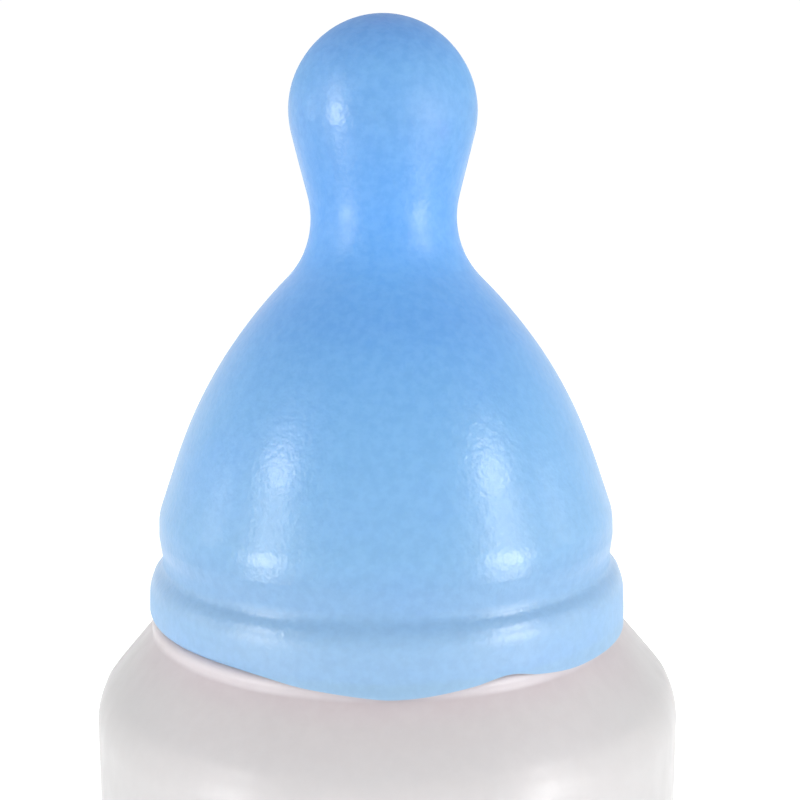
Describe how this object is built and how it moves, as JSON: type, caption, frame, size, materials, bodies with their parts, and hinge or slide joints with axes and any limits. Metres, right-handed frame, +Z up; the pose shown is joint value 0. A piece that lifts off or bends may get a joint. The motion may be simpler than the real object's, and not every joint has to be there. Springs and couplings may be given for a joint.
{
  "type": "calf feeding bottle",
  "caption": "Round translucent feeding bottle for calves with a push-on rubber teat and, inside the teat, a ball check valve and an air vent.",
  "frame": {"origin": "middle of the base, on the surface the bottle stands on", "axes": "+Z up along the bottle's axis, -Y towards the front seen in the picture, +X to its right, the air vent on +Y"},
  "size_m": [0.103, 0.103, 0.367],
  "materials": {
    "bottle_plastic": "milky translucent polyethylene, satin",
    "teat_rubber": "light blue rubber, satin to glossy",
    "valve_plastic": "white moulded polypropylene",
    "cage_plastic": "white moulded polypropylene",
    "ball_plastic": "polished hard plastic",
    "vent_silicone": "soft matt silicone"
  },
  "bodies": {
    "bottle": {"bottle": "bottle_plastic"},
    "teat": {"teat": "teat_rubber", "valve_seat": "valve_plastic", "valve_cage": "cage_plastic"},
    "ball": {"check_ball": "ball_plastic"},
    "vent": {"vent_umbrella": "vent_silicone"}
  },
  "joints": [
    {"name": "teat_pull", "type": "slide", "parent": "bottle", "child": "teat", "axis": [0, 0, 1], "range_m": [0, 0.08]},
    {"name": "ball_lift", "type": "slide", "parent": "teat", "child": "ball", "axis": [0, 0, 1], "range_m": [0, 0.004]},
    {"name": "vent_open", "type": "slide", "parent": "teat", "child": "vent", "axis": [0, 0, -1], "range_m": [0, 0.0008], "stiffness_N_per_m": 20, "springref_m": -0.001}
  ]
}
